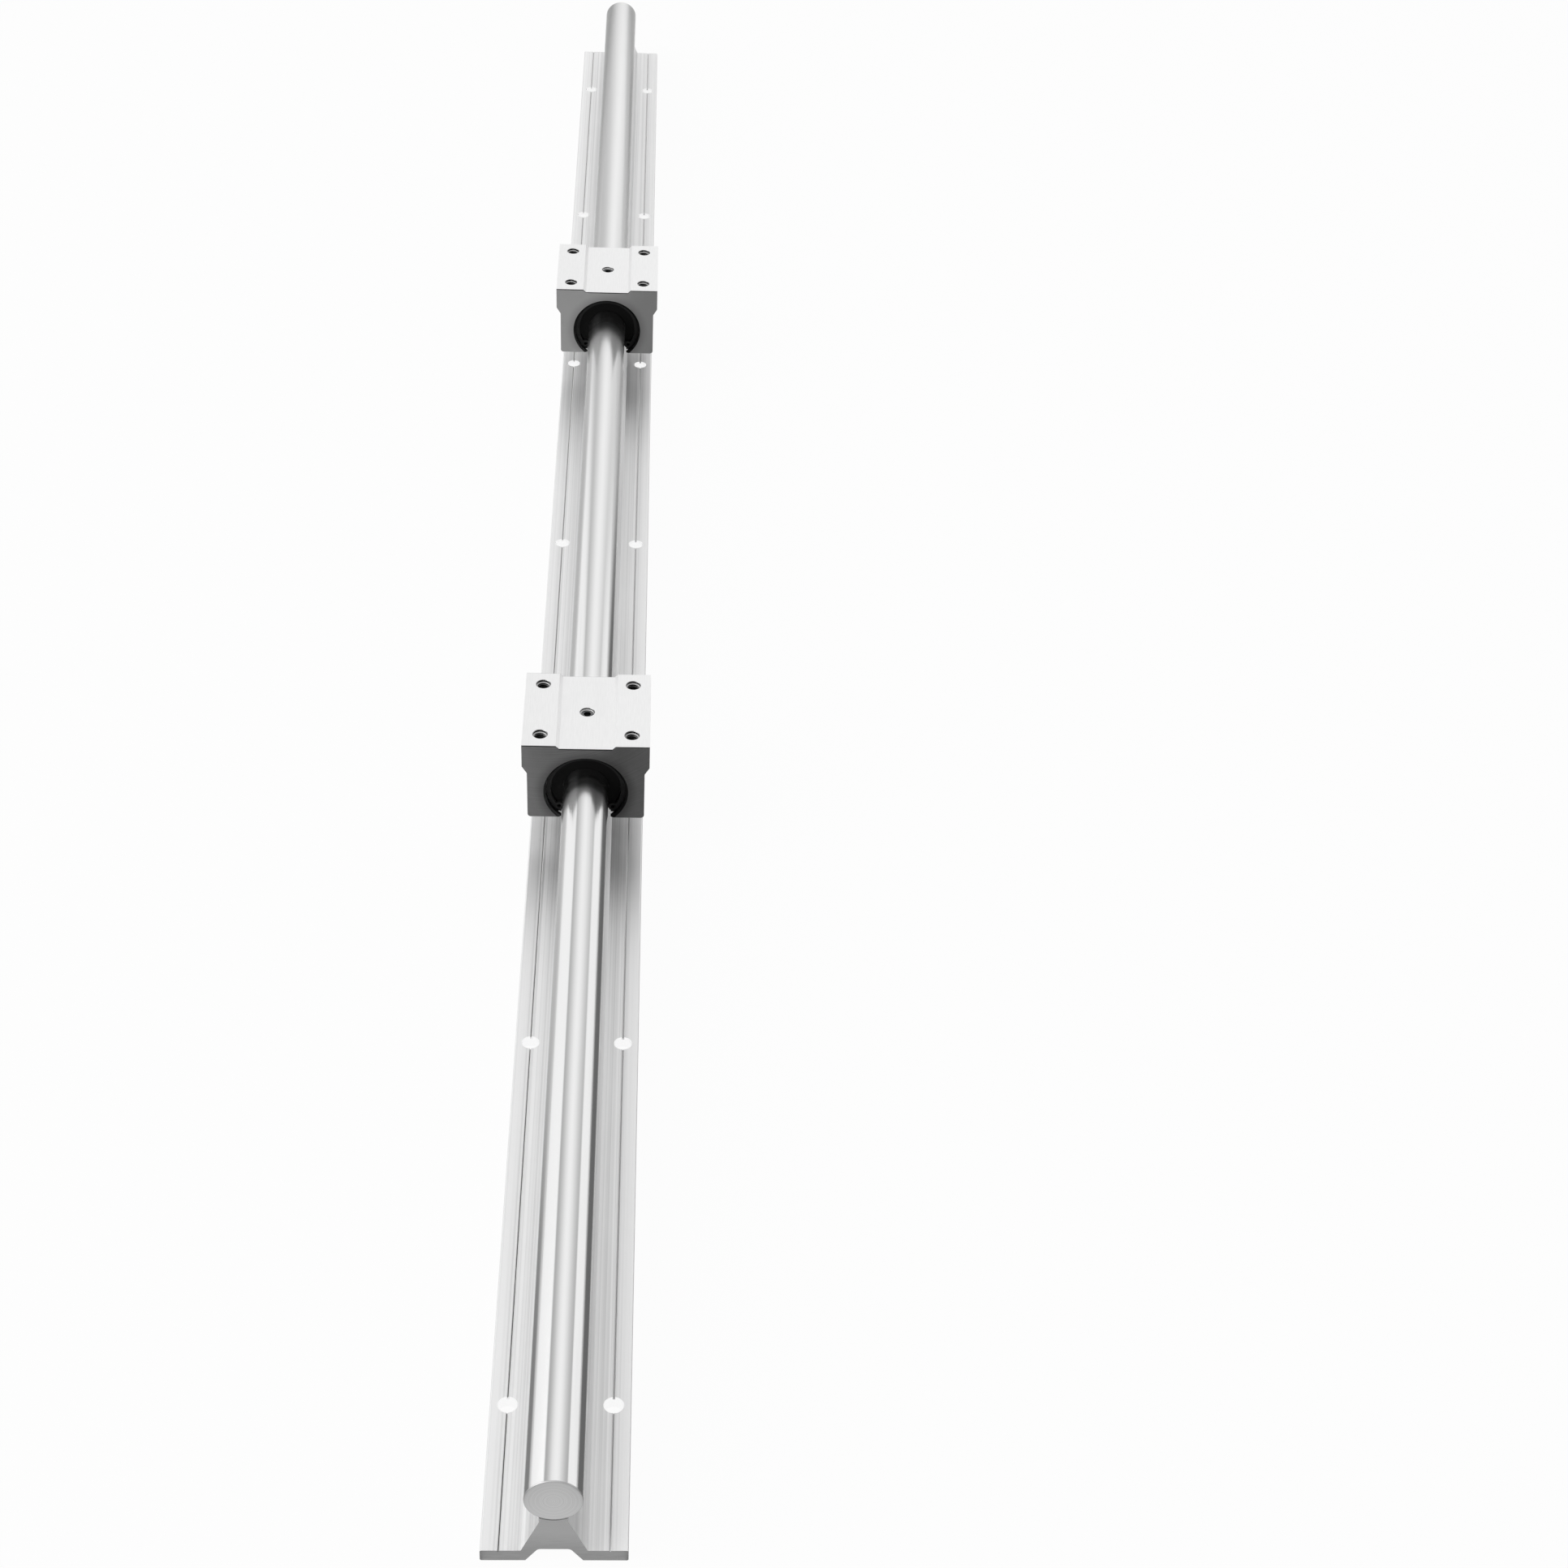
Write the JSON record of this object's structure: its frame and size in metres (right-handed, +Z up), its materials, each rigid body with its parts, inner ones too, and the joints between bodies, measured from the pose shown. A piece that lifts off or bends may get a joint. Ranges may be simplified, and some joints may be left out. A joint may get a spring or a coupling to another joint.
{
  "type": "supported round rail",
  "caption": "Round steel shaft bolted along an aluminium support with a flanged base, carrying sliding open ball-bushing blocks.",
  "frame": {"origin": "under the middle of the support's base, on the floor", "axes": "+Y along the rail from the near end to the far end, +Z up through the shaft, +X across the base"},
  "size_m": [0.0446, 1, 0.045],
  "materials": {
    "extruded_aluminium": "extruded, satin, with lengthwise die lines",
    "ground_shaft": "ground and polished hard steel",
    "black_screw": "black oxide",
    "machined_aluminium": "pale anodised, sawn ends",
    "bearing_steel": "ground",
    "cage_resin": "moulded, matt",
    "bearing_balls": "polished",
    "seal_rubber": "moulded, matt",
    "spring_steel": "blackened"
  },
  "bodies": {
    "rail": {"support_rail": "extruded_aluminium", "shaft": "ground_shaft", "shaft_screw_1": "black_screw", "shaft_screw_2": "black_screw", "shaft_screw_3": "black_screw", "shaft_screw_4": "black_screw", "shaft_screw_5": "black_screw", "shaft_screw_6": "black_screw", "shaft_screw_7": "black_screw"},
    "near_block": {"near_housing": "machined_aluminium", "near_bushing_sleeve": "bearing_steel", "near_ball_cage": "cage_resin", "near_balls": "bearing_balls", "near_seal_front": "seal_rubber", "near_seal_back": "seal_rubber", "near_snap_ring_front": "spring_steel", "near_snap_ring_back": "spring_steel", "near_lock_screw": "black_screw"},
    "far_block": {"far_housing": "machined_aluminium", "far_bushing_sleeve": "bearing_steel", "far_ball_cage": "cage_resin", "far_balls": "bearing_balls", "far_seal_front": "seal_rubber", "far_seal_back": "seal_rubber", "far_snap_ring_front": "spring_steel", "far_snap_ring_back": "spring_steel", "far_lock_screw": "black_screw"}
  },
  "joints": [
    {"name": "near_slide", "type": "slide", "parent": "rail", "child": "near_block", "axis": [0, 1, 0], "range_m": [-0.306, 0.1495]},
    {"name": "far_slide", "type": "slide", "parent": "rail", "child": "far_block", "axis": [0, 1, 0], "range_m": [-0.142, 0.3135]}
  ]
}
